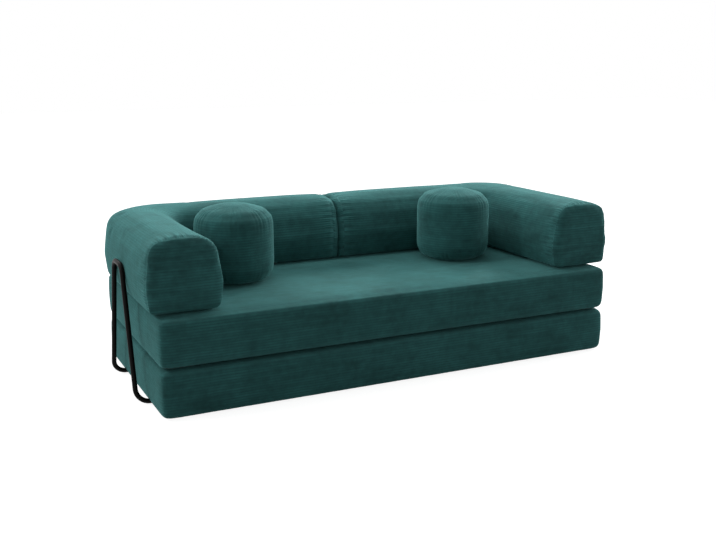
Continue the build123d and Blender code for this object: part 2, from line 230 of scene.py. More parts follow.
def corduroy(tree, settings):
    """Ribbed corduroy: cut pile of cotton and polyester, woven in cords and brushed.

    To the eye it is matt and soft, paler where the nap is seen from the side, and crushed in clouds.
    """
    ribs = add(tree, "UVMap", uv_map="ribs")
    place = add(tree, "TexCoord").outputs["Object"]
    # Crushed clouds as large as a hand, smaller drifts inside them, and the soft rumples of the filling.
    cloud, drift, rumple = (
        add(
            tree,
            "TexNoise",
            {"Vector": place, "Scale": spots(size), "Detail": detail, "Roughness": rough},
        )
        for size, detail, rough in ((182, 4.0, 0.62), (33.33, 3.0, 0.6), (71.43, 3.0, 0.5))
    )
    # The tufts of the pile are 0.2 mm, too fine to show, and are drawn at 1.1 mm.
    fluff = add(tree, "TexNoise", {"Vector": place, "Scale": spots(1.111), "Detail": 2.0})
    # The real ribs stand 9 to 10 mm apart; the setting draws them a little coarser, so that they show.
    rib = add(
        tree,
        "TexWave",
        {
            "Vector": ribs.outputs["UV"],
            "Scale": bands(settings.rib_spacing * 1000),
            "Distortion": 0.9,
            "Detail": 2.0,
            "Detail Scale": 0.35,
        },
        wave_type="BANDS",
        bands_direction="X",
    )
    # Streaks along the ribs, 17 mm wide and 200 mm long, where single ribs were pressed more than others.
    stretched = add(
        tree, "Mapping", {"Vector": ribs.outputs["UV"], "Scale": (spots(16.667), spots(200), 1.0)}
    )
    streak = add(
        tree, "TexNoise", {"Vector": stretched, "Scale": 1.0, "Detail": 3.0, "Roughness": 0.55}
    )
    seam = add(tree, "Attribute", attribute_name="seam", attribute_type="GEOMETRY")
    # Where the pile is pressed flat the furrows close up, so the ribs come and go in streaks and clouds.
    pressed = add(tree, "Math", {0: streak, 1: cloud}, operation="ADD")
    open_share = add(
        tree,
        "MapRange",
        {"Value": pressed, "From Min": 0.80, "From Max": 1.22, "To Min": 0.05, "To Max": 0.45},
    )
    groove = add(
        tree,
        "MapRange",
        {"Value": rib.outputs["Fac"], "From Min": 0.0, "From Max": 0.6, "To Min": 1.0, "To Max": 0.0},
    )
    groove = add(tree, "Math", {0: groove, 1: open_share}, operation="MULTIPLY")
    base = add(tree, "Mix", {"Factor": groove, 6: settings.pile, 7: settings.furrow}, data_type="RGBA")
    # Clouds, drifts and streaks together shade the cloth from crushed to brushed up.
    crushed = add(tree, "Math", {0: cloud, 1: 0.55}, operation="MULTIPLY")
    for pattern, weight in ((drift, 0.25), (streak, 0.35)):
        crushed = add(tree, "Math", {0: pattern, 1: weight, 2: crushed}, operation="MULTIPLY_ADD")
    shade = add(
        tree,
        "MapRange",
        {"Value": crushed, "From Min": 0.44, "From Max": 0.72, "To Min": 0.60, "To Max": 1.34},
    )
    # At the ends of the bolsters the cloth is drawn into short pleats that run with the ribs; their ridges
    # are painted paler, a painted highlight.
    drawn = add(tree, "Attribute", attribute_name="drawn", attribute_type="GEOMETRY")
    pleat = add(
        tree,
        "MapRange",
        {"Value": streak, "From Min": 0.36, "From Max": 0.64, "To Min": 0.0, "To Max": 1.0},
    )
    pleat = add(tree, "Math", {0: pleat, 1: drawn.outputs["Fac"]}, operation="MULTIPLY")
    # Painted highlight: the colour on the pleats' ridges is raised, up to 1.35 times.
    painted_pleat_highlight = add(tree, "MapRange", {"Value": pleat, "To Min": 1.0, "To Max": 1.35})
    # The colour is multiplied by the crushed tone and by the painted pleat highlight.
    varied = base
    for level in (shade, painted_pleat_highlight):
        varied = add(
            tree,
            "Mix",
            {"Factor": 1.0, 6: varied.outputs[2], 7: level},
            data_type="RGBA",
            blend_type="MULTIPLY",
        )
    # The ridge beside a seam is rubbed a little paler.
    worn = add(
        tree,
        "MapRange",
        {"Value": seam.outputs["Fac"], "From Min": 0.25, "From Max": 0.6, "To Min": 0.0, "To Max": 0.05},
    )
    rubbed = add(tree, "Mix", {"Factor": worn, 6: varied.outputs[2], 7: settings.nap}, data_type="RGBA")
    # Relief: ribs with their fluff, then rumples and pleats.
    height = add(tree, "Math", {0: rib.outputs["Fac"], 1: open_share}, operation="MULTIPLY")
    height = add(tree, "Math", {0: fluff, 1: 0.3, 2: height}, operation="MULTIPLY_ADD")
    bump = add(tree, "Bump", {"Height": height, "Strength": 0.85, "Distance": settings.rib_height})
    for relief, strength in ((rumple, 0.35), (pleat, 0.8)):
        bump = add(
            tree,
            "Bump",
            {"Height": relief, "Strength": strength, "Distance": 0.006, "Normal": bump},
        )
    return add(
        tree,
        "BsdfPrincipled",
        {
            "Base Color": rubbed.outputs[2],
            "Roughness": 0.92,
            "Specular IOR Level": 0.18,
            "Sheen Weight": 0.8,
            "Sheen Roughness": 0.42,
            "Sheen Tint": settings.nap,
            "Normal": bump,
        },
    )


def woven_underside(tree, settings):
    """Non-slip polyester cloth under a mattress, closely woven: flat, dull and black, with a fine grain."""
    place = add(tree, "TexCoord").outputs["Object"]
    # The threads are 0.5 mm, too fine to show, and are drawn at 1.8 mm.
    weft, warp = (
        add(tree, "TexWave", {"Vector": place, "Scale": bands(1.8)}, bands_direction=direction)
        for direction in "XY"
    )
    weave = add(tree, "Math", {0: weft.outputs["Fac"], 1: warp.outputs["Fac"]}, operation="MULTIPLY")
    tone = add(
        tree, "Mix", {"Factor": weave, 6: linear("#161A1B"), 7: linear("#2A3132")}, data_type="RGBA"
    )
    bump = add(tree, "Bump", {"Height": weave, "Strength": 0.6, "Distance": 0.0004})
    return add(
        tree, "BsdfPrincipled", {"Base Color": tone.outputs[2], "Roughness": 0.8, "Normal": bump}
    )


def powder_coat(tree, settings):
    """Satin powder coat, baked on steel tube: near-black, with fine orange peel and rubbed high spots."""
    place = add(tree, "TexCoord").outputs["Object"]
    # Orange peel of 1.7 mm, and rubbed patches of 38 mm.
    peel = add(tree, "TexNoise", {"Vector": place, "Scale": spots(1.667), "Detail": 2.0})
    wear = add(
        tree,
        "TexNoise",
        {"Vector": place, "Scale": spots(38.46), "Detail": 5.0, "Roughness": 0.65},
    )
    rubbed = add(
        tree,
        "MapRange",
        {"Value": wear, "From Min": 0.45, "From Max": 0.75, "To Min": 0.0, "To Max": 0.25},
    )
    tone = add(
        tree,
        "Mix",
        {"Factor": rubbed, 6: settings.coat, 7: linear("#231F1D")},
        data_type="RGBA",
    )
    gloss = add(
        tree,
        "MapRange",
        {"Value": wear, "From Min": 0.3, "From Max": 0.8, "To Min": 0.36, "To Max": 0.5},
    )
    bump = add(tree, "Bump", {"Height": peel, "Strength": 0.25, "Distance": 0.0002})
    return add(
        tree,
        "BsdfPrincipled",
        {"Base Color": tone.outputs[2], "Roughness": gloss, "Specular IOR Level": 0.06, "Normal": bump},
    )


def moulded_plastic(tree, settings):
    """Moulded polyethylene of the plugs and glides: dull black, faintly grained, scuffed in clouds."""
    place = add(tree, "TexCoord").outputs["Object"]
    # The mould's grain is 0.3 mm, drawn at 1.1 mm so that it shows; the scuffs are 17 mm.
    grain = add(tree, "TexNoise", {"Vector": place, "Scale": spots(1.111), "Detail": 3.0})
    scuff = add(tree, "TexNoise", {"Vector": place, "Scale": spots(16.667), "Detail": 4.0})
    tone = add(
        tree, "Mix", {"Factor": scuff, 6: settings.plastic, 7: linear("#26282A")}, data_type="RGBA"
    )
    bump = add(tree, "Bump", {"Height": grain, "Strength": 0.3, "Distance": 0.0002})
    return add(
        tree, "BsdfPrincipled", {"Base Color": tone.outputs[2], "Roughness": 0.55, "Normal": bump}
    )


def lacquered_zinc(tree, settings):
    """Die-cast zinc, lacquered in the cover's colour: smooth, a little glossy, chipped to bare metal."""
    place = add(tree, "TexCoord").outputs["Object"]
    # Chips of 2.5 mm with finer ones at their edges.
    chips = add(tree, "TexNoise", {"Vector": place, "Scale": spots(2.5), "Detail": 4.0})
    bare = add(
        tree,
        "MapRange",
        {"Value": chips, "From Min": 0.66, "From Max": 0.7, "To Min": 0.0, "To Max": 0.8},
    )
    tone = add(
        tree, "Mix", {"Factor": bare, 6: settings.slider, 7: linear("#9A9B98")}, data_type="RGBA"
    )
    bump = add(tree, "Bump", {"Height": chips, "Strength": 0.2, "Distance": 0.0002})
    return add(
        tree,
        "BsdfPrincipled",
        {
            "Base Color": tone.outputs[2],
            "Roughness": 0.34,
            "Metallic": 0.4,
            "Coat Weight": 0.3,
            "Normal": bump,
        },
    )


def zip_cloth(tree, settings):
    """Woven polyester zip tape with its nylon coil: fine slanting twill, dyed to match the corduroy."""
    place = add(tree, "TexCoord").outputs["Object"]
    # The twill is 0.6 mm and the coil's turns are 1.5 mm, drawn at 1.6 and 2.6 mm so that they show.
    twill = add(
        tree,
        "TexWave",
        {"Vector": place, "Scale": bands(1.6), "Distortion": 0.4},
        bands_direction="DIAGONAL",
    )
    teeth = add(tree, "TexWave", {"Vector": place, "Scale": bands(2.6)}, bands_direction="X")
    height = add(
        tree, "Math", {0: teeth.outputs["Fac"], 1: 0.7, 2: twill.outputs["Fac"]}, operation="MULTIPLY_ADD"
    )
    tone = add(
        tree, "Mix", {"Factor": height, 6: linear("#172F31"), 7: settings.tape}, data_type="RGBA"
    )
    bump = add(tree, "Bump", {"Height": height, "Strength": 0.7, "Distance": 0.0005})
    return add(
        tree,
        "BsdfPrincipled",
        {"Base Color": tone.outputs[2], "Roughness": 0.8, "Specular IOR Level": 0.15, "Normal": bump},
    )


def cut_foam(tree, settings):
    """Polyurethane foam, sliced from the block: pale cream, matt, pitted with open cells."""
    place = add(tree, "TexCoord").outputs["Object"]
    # The cells are 0.5 mm, drawn at 2 mm so that they show; the block's colour drifts over 125 mm.
    cells = add(tree, "TexVoronoi", {"Vector": place, "Scale": spots(2)})
    patch = add(tree, "TexNoise", {"Vector": place, "Scale": spots(125), "Detail": 4.0})
    tone = add(tree, "Mix", {"Factor": patch, 6: settings.foam, 7: linear("#D2C99F")}, data_type="RGBA")
    bump = add(tree, "Bump", {"Height": cells, "Strength": 0.6, "Distance": 0.0008})
    return add(
        tree, "BsdfPrincipled", {"Base Color": tone.outputs[2], "Roughness": 0.95, "Normal": bump}
    )


def fibre_bag(tree, settings):
    """Spun-bonded polyester bag over loose fibre: white, matt, softly lumpy."""
    place = add(tree, "TexCoord").outputs["Object"]
    # Lumps of fibre of 38 mm; the bonded threads are 0.1 mm, drawn at 1.4 mm so that they show.
    lumps = add(tree, "TexNoise", {"Vector": place, "Scale": spots(38.46), "Detail": 3.0})
    fleece = add(tree, "TexNoise", {"Vector": place, "Scale": spots(1.429), "Detail": 3.0})
    tone = add(
        tree, "Mix", {"Factor": lumps, 6: settings.fibre, 7: linear("#CFCFC8")}, data_type="RGBA"
    )
    bump = add(tree, "Bump", {"Height": fleece, "Strength": 0.5, "Distance": 0.0006})
    return add(
        tree, "BsdfPrincipled", {"Base Color": tone.outputs[2], "Roughness": 0.9, "Normal": bump}
    )


def floor_paint(tree, stage):
    """Matt paint, rolled on a studio floor: even and pale, as white as its surroundings seen directly."""
    seen = seen_directly(tree)
    # The glow is full away from the sofa, so that the floor's far side is as white as the surroundings.
    place = add(tree, "TexCoord").outputs["Object"]
    away = add(tree, "VectorMath", {0: place}, operation="LENGTH")
    level = add(
        tree,
        "MapRange",
        {"Value": away.outputs["Value"], "From Min": 1.0, "From Max": 2.4, "To Min": 0.89, "To Max": 1.1},
    )
    glow = add(tree, "Math", {0: seen, 1: level}, operation="MULTIPLY")
    return add(
        tree,
        "BsdfPrincipled",
        {
            "Base Color": tuple(stage.floor),
            "Roughness": 0.9,
            "Specular IOR Level": 0.1,
            "Emission Color": (1, 1, 1),
            "Emission Strength": glow,
        },
    )


# Each material's name, which no material of the CAD model may share, and what makes its nodes.
MATERIALS = {
    "ribbed_corduroy": corduroy,
    "non_slip_polyester": woven_underside,
    "satin_powder_coat": powder_coat,
    "moulded_polyethylene": moulded_plastic,
    "lacquered_zinc": lacquered_zinc,
    "polyester_zip_tape": zip_cloth,
    "polyurethane_foam": cut_foam,
    "polyester_fibre_bag": fibre_bag,
    "painted_studio_floor": floor_paint,
}


def material_for(name, settings):
    """The material of that name, made when it is first asked for."""
    material = bpy.data.materials.get(name)
    if not material:
        material = bpy.data.materials.new(name)
        material.use_nodes = True
        tree = material.node_tree
        tree.nodes.clear()
        add(tree, "OutputMaterial", {"Surface": MATERIALS[name](tree, settings)})
    return material


def read(items, name, width=1, kind=np.float32):
    """One property of all the points, faces or face corners of a mesh."""
    values = np.empty(len(items) * width, kind)
    items.foreach_get(name, values)
    return values.reshape(-1, width) if width > 1 else values


def points_of(mesh):
    return read(mesh.vertices, "co", 3).astype(float)


def normals_of(mesh):
    return read(mesh.vertices, "normal", 3).astype(float)


def set_points(mesh, places):
    mesh.vertices.foreach_set("co", places.astype(np.float32).ravel())
    mesh.update()


def new_object(name, data):
    """An object in the scene."""
    made = bpy.data.objects.new(name, data)
    bpy.context.scene.collection.objects.link(made)
    return made


def apply_modifier(piece, modifier):
    with bpy.context.temp_override(object=piece, active_object=piece, selected_objects=[piece]):
        bpy.ops.object.modifier_apply(modifier=modifier.name)


def block_of(nodes, name, grain, rounds):
    """A closed, evenly meshed copy of the form that CAD solids make together, rounded by smoothing."""
    piece = new_object(name, bpy.data.meshes.new(name))
    form = bmesh.new()
    for node in nodes:
        form.from_mesh(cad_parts[node].data)
    bmesh.ops.remove_doubles(form, verts=form.verts, dist=WELD)
    bmesh.ops.recalc_face_normals(form, faces=form.faces)
    form.to_mesh(piece.data)
    form.free()
    remesh = piece.modifiers.new("even_mesh", "REMESH")
    remesh.mode = "VOXEL"
    remesh.voxel_size = grain
    remesh.use_smooth_shade = True
    apply_modifier(piece, remesh)
    low, high = points_of(piece.data).min(0), points_of(piece.data).max(0)
    form = bmesh.new()
    form.from_mesh(piece.data)
    for _ in range(rounds):
        bmesh.ops.smooth_vert(
            form, verts=form.verts, factor=0.5, use_axis_x=True, use_axis_y=True, use_axis_z=True
        )
    form.to_mesh(piece.data)
    form.free()
    # Smoothing draws the block in, so it is stretched back to its own size.
    places = points_of(piece.data)
    shrunk_low, shrunk_high = places.min(0), places.max(0)
    set_points(piece.data, low + (places - shrunk_low) / (shrunk_high - shrunk_low) * (high - low))
    piece.data.shade_smooth()
    return piece


def swell_cover(piece, travel, seams, grip):
    """Fills a cover as air would, held at its seams, and stops each point after the given travel."""
    before = points_of(piece.data)
    sewn = piece.vertex_groups.new(name="sewn")
    nearest = np.min(seams, axis=0)
    for index in np.flatnonzero(nearest < grip):
        sewn.add([int(index)], 1, "REPLACE")
    cloth = piece.modifiers.new("fill", "CLOTH")
    cloth.settings.vertex_group_mass = "sewn"
    cloth.settings.quality = 4
    cloth.settings.mass = 0.3
    cloth.settings.tension_stiffness = 12
    cloth.settings.compression_stiffness = 12
    cloth.settings.shear_stiffness = 6
    cloth.settings.bending_stiffness = 0.6
    cloth.settings.use_pressure = True
    cloth.settings.uniform_pressure_force = 4
    cloth.settings.effector_weights.gravity = 0
    cloth.collision_settings.use_collision = False
    cloth.point_cache.frame_start = 1
    cloth.point_cache.frame_end = FILL_FRAMES
    for step in range(1, FILL_FRAMES + 1):
        bpy.context.scene.frame_set(step)
    evaluated = piece.evaluated_get(bpy.context.evaluated_depsgraph_get())
    after = points_of(evaluated.data)
    piece.modifiers.remove(cloth)
    piece.vertex_groups.remove(sewn)
    bpy.context.scene.frame_set(1)
    move = after - before
    reach = np.linalg.norm(move, axis=1, keepdims=True)
    set_points(piece.data, before + move * np.minimum(1, travel / np.maximum(reach, 1e-9)))


def tighten(piece, faces, share, reach):
    """Packs the points near faces of a piece's box towards them, so that the edges turn tightly.

    A face is an axis and the end of it, -1 or 1.
    """
    places = points_of(piece.data)
    low, high = places.min(0), places.max(0)
    for axis, end in faces:
        depth = places[:, axis] - low[axis] if end < 0 else high[axis] - places[:, axis]
        near = np.clip(depth / reach, 0, 1)
        packed = depth * (share + (1 - share) * near * near * (3 - 2 * near))
        places[:, axis] = low[axis] + packed if end < 0 else high[axis] - packed
    set_points(piece.data, places)


def divide(piece):
    """One level of subdivision, applied."""
    finer = piece.modifiers.new("finer", "SUBSURF")
    finer.levels = finer.render_levels = 1
    apply_modifier(piece, finer)


def cut_out(piece, form):
    """Cuts a form out of a piece, and frees the form."""
    mesh = bpy.data.meshes.new("cutter")
    form.to_mesh(mesh)
    form.free()
    cutter = new_object("cutter", mesh)
    cut = piece.modifiers.new("opening", "BOOLEAN")
    cut.operation = "DIFFERENCE"
    cut.solver = "EXACT"
    cut.object = cutter
    apply_modifier(piece, cut)
    bpy.data.objects.remove(cutter)


def carve_with(piece, cutters):
    """Cuts boxes out of a piece, all at once."""
    form = bmesh.new()
    for low, high in cutters:
        made = bmesh.ops.create_cube(form, size=1)
        bmesh.ops.scale(form, vec=[b - a for a, b in zip(low, high)], verts=made["verts"])
        bmesh.ops.translate(form, vec=[(a + b) / 2 for a, b in zip(low, high)], verts=made["verts"])
    cut_out(piece, form)


def settle(piece, low, high, rest_low, rest_high=math.inf):
    """Fits a filled cover to its solid's room, and flattens it where it rests or is rested on."""
    places = points_of(piece.data)
    now_low, now_high = places.min(0), places.max(0)
    places = low + (places - now_low) / (now_high - now_low) * (high - low)
    places[:, 2] = np.clip(places[:, 2], rest_low, rest_high)
    set_points(piece.data, places)


def mark(piece, name, values):
    """Stores a value at each point of a piece, for its material."""
    made = piece.data.attributes.new(name, "FLOAT", "POINT")
    made.data.foreach_set("value", values.astype(np.float32))


def gathers(along, spacing):
    """Uneven gathers along a seam, from 0 to 1; the second and third waves keep them from repeating."""
    turns = 2 * math.pi * along / spacing
    waves = np.sin(turns + 1.7 * np.sin(turns / 3.7 + 1))
    waves += 0.6 * np.sin(turns * 1.63 + 2.1 * np.sin(turns / 5.3))
    return np.clip(0.5 + 0.32 * waves, 0, 1) * (0.62 + 0.38 * np.sin(turns / 6.1 + 2))


def sew(piece, seams, settings):
    """Draws a cover in along its seams and gathers it beside them.

    A seam is each point's distance from it and place along it, how strongly it pulls and how far in.
    """
    places, normals = points_of(piece.data), normals_of(piece.data)
    sunk = np.zeros(len(places))
    near = np.zeros(len(places))
    for distance, along, strength, reach in seams:
        line = np.exp(-((distance / settings.seam_width) ** 2))
        beside = np.exp(-distance / reach) * (1 - 0.5 * line)
        sunk += settings.seam_depth * line * min(1, strength)
        sunk += settings.pucker_depth * strength * beside * gathers(along, settings.pucker_spacing)
        near = np.maximum(near, np.exp(-distance / SEAM_WEAR) * min(1, strength))
    set_points(piece.data, places - normals * sunk[:, None])
    mark(piece, "seam", near)


def lay_ribs(piece, rule):
    """Stores where each face corner lies across and along the ribs.

    The rule takes the corners' places, and the centres and normals of their faces.
    """
    mesh = piece.data
    vertex = read(mesh.loops, "vertex_index", kind=np.int32)
    corners = read(mesh.polygons, "loop_total", kind=np.int32)
    centre, normal = (
        np.repeat(read(mesh.polygons, name, 3), corners, axis=0) for name in ("center", "normal")
    )
    across, along = rule(points_of(mesh)[vertex], centre, normal)
    layer = mesh.uv_layers.get("ribs") or mesh.uv_layers.new(name="ribs")
    layer.data.foreach_set("uv", np.stack([across, along], 1).astype(np.float32).ravel())


def dress(piece, body, material, nodes):
    """Gives a piece its material and its body, and hides the CAD nodes that it stands for."""
    piece.data.materials.clear()
    piece.data.materials.append(material)
    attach(piece, body)
    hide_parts(*nodes)


def box_of(nodes):
    """The box round several CAD nodes, as arrays."""
    boxes = [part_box(node) for node in nodes]
    return (
        np.array([min(b[0][i] for b in boxes) for i in range(3)]),
        np.array([max(b[1][i] for b in boxes) for i in range(3)]),
    )


def zip_opening(owner):
    """The box to cut from the back of a cover so that its zip tape lies open."""
    low, high = (np.array(corner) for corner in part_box(f"{owner}_zip_tape"))
    low, high = low - ZIP_ROOM, high + ZIP_ROOM
    high[1] += CUT_REACH
    return low, high


class SOFA_OT_mattresses(bpy.types.Operator):
    """Makes the covers of the two mattresses"""

    bl_idname = "sofa.mattresses"
    bl_label = "Mattresses"

    def execute(self, context):
        cloth = context.scene.sofa_cloth
        # How far the mattresses sink into each other, and how far each sags before it is pressed flat.
        press, sag = 0.003, 0.002
        # Ribs on top run on over the rounded edge, which is longer than it is deep.
        rounding, stretch = 0.034, 1.3
        for name in MATTRESSES:
            nodes = [f"{name}_cover_{part}" for part in ("top", "border", "base")]
            low, high = box_of(nodes)
            piece = block_of(
                [*nodes, f"{name}_foam_core", f"{name}_zip_tape"],
                f"{name}_cover",
                cloth.mattress_grain,
                1,
            )
            tighten(piece, [(axis, end) for axis in range(3) for end in (-1, 1)], *MATTRESS_EDGE)
            seams_at = (low[2] + MATTRESS_BASE_SEAM, high[2] - MATTRESS_TOP_SEAM)
            heights = points_of(piece.data)[:, 2]
            swell_cover(
                piece,
                cloth.swell,
                [np.abs(heights - at) for at in seams_at],
                cloth.mattress_grain / 2,
            )
            is_lower = name == MATTRESSES[0]
            below = low[2] if is_lower else low[2] - press
            above = high[2] + press if is_lower else high[2]
            settle(piece, np.array([*low[:2], below - sag]), np.array([*high[:2], above]), low[2], high[2])
            divide(piece)
            places = points_of(piece.data)
            # The sine keeps the corners from gathering alike, and the shift keeps the seams apart.
            run, shift = places[:, 0] + places[:, 1] + 0.4 * np.sin(places[:, 0]), 0.37
            sew(
                piece,
                [
                    (np.abs(places[:, 2] - seams_at[0]), run, *MATTRESS_BASE_PULL),
                    (np.abs(places[:, 2] - seams_at[1]), run + shift, *MATTRESS_TOP_PULL),
                ],
                cloth,
            )
            cutters = [zip_opening(name)]
            if is_lower:
                cutters += self.grooves()
            carve_with(piece, cutters)
            flat = high[1] - rounding

            def ribs(places, centre, normal):
                top = (centre[:, 2] > seams_at[1]) | (centre[:, 2] < seams_at[0])
                over = np.clip(np.abs(places[:, 1]) - flat, 0, None)
                bent = np.sign(places[:, 1]) * (np.minimum(np.abs(places[:, 1]), flat) + stretch * over)
                across = np.where(top, bent, places[:, 2])
                side = np.abs(normal[:, 0]) > np.abs(normal[:, 1])
                along = np.where(~top & side, places[:, 1], places[:, 0])
                return across, along

            lay_ribs(piece, ribs)
            dress(piece, name, material_for("ribbed_corduroy", cloth), nodes)
            piece.data.materials.append(material_for("non_slip_polyester", cloth))
            for face in piece.data.polygons:
                if face.center.z < seams_at[0] and face.normal.z < FACES_DOWN:
                    face.material_index = 1
        return {"FINISHED"}

    @staticmethod
    def grooves():
        """Where the brackets' runs press into the underside of the lower mattress."""
        # How far the runs' middles lie in from the glides' sides, and a groove's width to each side.
        inset, half_width = 0.012, 0.014
        # How far a groove goes past the plug and over the tube, and where its cutter ends.
        past_plug, over_tube, under_floor, past_mattress = 0.003, 0.002, -0.03, 1.2
        cutters = []
        for side, sign in SIDES:
            low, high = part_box(f"{side}_bracket_floor_glides")
            plug_low, plug_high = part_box(f"{side}_bracket_end_plugs")
            inner = plug_high[0] if sign < 0 else plug_low[0]
            start, end = sorted((inner - sign * past_plug, sign * past_mattress))
            for middle in (low[1] + inset, high[1] - inset):
                top = plug_high[2] + over_tube
                cutters.append(((start, middle - half_width, under_floor), (end, middle + half_width, top)))
        return cutters


class SOFA_OT_bolsters(bpy.types.Operator):
    """Makes the covers of the two L-shaped bolsters"""

    bl_idname = "sofa.bolsters"
    bl_label = "Bolsters"

    def execute(self, context):
        cloth = context.scene.sofa_cloth
        for side, sign in SIDES:
            name = f"{side}_bolster"
            nodes = [f"{name}_cover_{part}" for part in ("wrap", "base", "front_end", "inner_end")]
            low, high = box_of(nodes)
            piece = block_of(
                [*nodes, f"{name}_foam_core", f"{name}_zip_tape"],
                f"{name}_cover",
                cloth.bolster_grain,
                2,
            )
            tighten(piece, [(1, -1), (2, -1)], *BOLSTER_FOOT)
            tighten(piece, [(0, sign), (2, 1)], *BOLSTER_SHOULDER)
            front_seam, inner_seam = low[1] + BOLSTER_END_SEAM, BACK_GAP + BOLSTER_END_SEAM
            base_seam = low[2] + BOLSTER_BASE_SEAM
            measured = self.seams(points_of(piece.data), sign, front_seam, inner_seam, base_seam)
            swell_cover(piece, cloth.swell, [seam for seam, _ in measured], cloth.bolster_grain / 2)
            settle(piece, low - np.array([0, 0, BOLSTER_SAG]), high, low[2])
            self.press_together(piece, sign)
            divide(piece)
            places = points_of(piece.data)
            plan = LPlan(sign, outer=high[0] if sign > 0 else -low[0], rear=high[1])
            across = plan.across(places, low[2])
            runs = (across, across, places[:, 0] + places[:, 1])
            measured = self.seams(places, sign, front_seam, inner_seam, base_seam)
            sew(piece, [(seam, run, *pull) for (seam, pull), run in zip(measured, runs)], cloth)
            ends = np.minimum(measured[0][0], measured[1][0])
            on_front = places[:, 1] < front_seam - PLEAT_TURN
            on_inner = sign * places[:, 0] < inner_seam - PLEAT_TURN
            # How far the cloth is drawn into pleats; the material gives the pleats relief and a painted
            # highlight there.
            drawn = np.exp(-((ends / PLEAT_REACH) ** 2)) * np.where(on_front | on_inner, 0.3, 1)
            mark(piece, "drawn", drawn)
            carve_with(piece, [zip_opening(name)])

            def ribs(places, centre, normal):
                end = (centre[:, 1] < front_seam) | (sign * centre[:, 0] < inner_seam)
                base = (normal[:, 2] < FACES_DOWN) & (centre[:, 2] < low[2] + 0.02)
                wrap = plan.across(places, low[2])
                across = np.where(end, places[:, 2], np.where(base, places[:, 1], wrap))
                along = np.where(end, places[:, 0] + places[:, 1], plan.along(places))
                return across, along

            lay_ribs(piece, ribs)
            dress(piece, name, material_for("ribbed_corduroy", cloth), nodes)
        return {"FINISHED"}

    @staticmethod
    def press_together(piece, sign):
        """Pushes the end of the back towards the other bolster, flat where the two ends meet."""
        furthest, push_reach, clearance = 0.017, 0.11, 0.0008
        places = points_of(piece.data)
        inward = sign * places[:, 0]
        push = furthest * np.clip(1 - inward / push_reach, 0, 1) ** 1.5
        places[:, 0] = sign * np.maximum(inward - push, clearance)
        # The lower edge of that end drops on to the seat, by most of its height over the base.
        most, drop_reach, drop_height = 0.85, 0.08, 0.06
        floor = places[:, 2].min()
        height = places[:, 2] - floor
        drop = most * np.clip(1 - inward / drop_reach, 0, 1) * np.clip(1 - height / drop_height, 0, 1)
        places[:, 2] = floor + height * (1 - drop)
        set_points(piece.data, places)

    @staticmethod
    def seams(places, sign, front_seam, inner_seam, base_seam):
        """Each point's distance from the two end seams and the base seam, with how they draw the cloth."""
        near_end, out_of_reach = 0.3, 9.0
        arm = places[:, 1] < front_seam + near_end
        back = sign * places[:, 0] < inner_seam + near_end
        return [
            (np.where(arm, np.abs(places[:, 1] - front_seam), out_of_reach), BOLSTER_FRONT_PULL),
            (np.where(back, np.abs(sign * places[:, 0] - inner_seam), out_of_reach), BOLSTER_INNER_PULL),
            (np.abs(places[:, 2] - base_seam), BOLSTER_BASE_PULL),
        ]


class LPlan:
    """The plan of a bolster: two straight stretches that meet in a wide outer and a tight inner corner."""

    width, outer_radius, inner_radius = 0.312, 0.24, 0.046
    # The section: how high its straight flank is, and how wide the roll above it turns.
    flank, roll = 0.186, 0.112

    def __init__(self, sign, outer, rear):
        self.sign, self.outer, self.rear = sign, outer, rear

    def sides(self, places):
        """Each point's distance from the outer and from the inner side."""
        x, y = self.sign * places[:, 0], places[:, 1]
        cx, cy = self.outer - self.outer_radius, self.rear - self.outer_radius
        corner = (x > cx) & (y > cy)
        from_outer = np.where(
            corner, self.outer_radius - np.hypot(x - cx, y - cy), np.minimum(self.outer - x, self.rear - y)
        )
        ix, iy = self.outer - self.width - self.inner_radius, self.rear - self.width - self.inner_radius
        from_inner = np.where(
            x <= ix,
            y - (self.rear - self.width),
            np.where(y <= iy, x - (self.outer - self.width), np.hypot(x - ix, y - iy) - self.inner_radius),
        )
        return np.maximum(from_outer, 0), np.maximum(from_inner, 0)

    def across(self, places, floor):
        """How far round the bolster's section each point lies, from the foot of its outer side."""
        from_outer, from_inner = self.sides(places)
        share = from_outer / np.maximum(from_outer + from_inner, 1e-6)
        radius, flank = self.roll, self.flank
        lateral = share * self.width
        height = places[:, 2] - floor
        climb = np.clip(height - flank, 0, None)
        first = lateral < self.width / 2
        inward = np.where(first, lateral, self.width - lateral)
        turn = radius * np.arctan2(climb, np.clip(radius - inward, 0.0001, None))
        rolled = np.where(inward < radius, turn, radius * math.pi / 2 + inward - radius)
        half = np.where(height < flank, height, flank + rolled)
        total = 2 * (flank + radius * math.pi / 2 + self.width / 2 - radius)
        return np.where(first, half, total - half)

    def along(self, places):
        """How far along the bolster each point lies, from the end of its arm."""
        x, y = self.sign * places[:, 0], places[:, 1]
        turn_x, turn_y = self.outer - self.outer_radius, self.rear - self.outer_radius
        radius = self.outer_radius
        bend = np.arctan2(np.clip(y - turn_y, 0, None), np.clip(x - turn_x, 0.0001, None)) * radius
        past = np.where(x < turn_x, turn_y + radius * math.pi / 2 + turn_x - x, turn_y + bend)
        return np.where(y < turn_y, y, past)


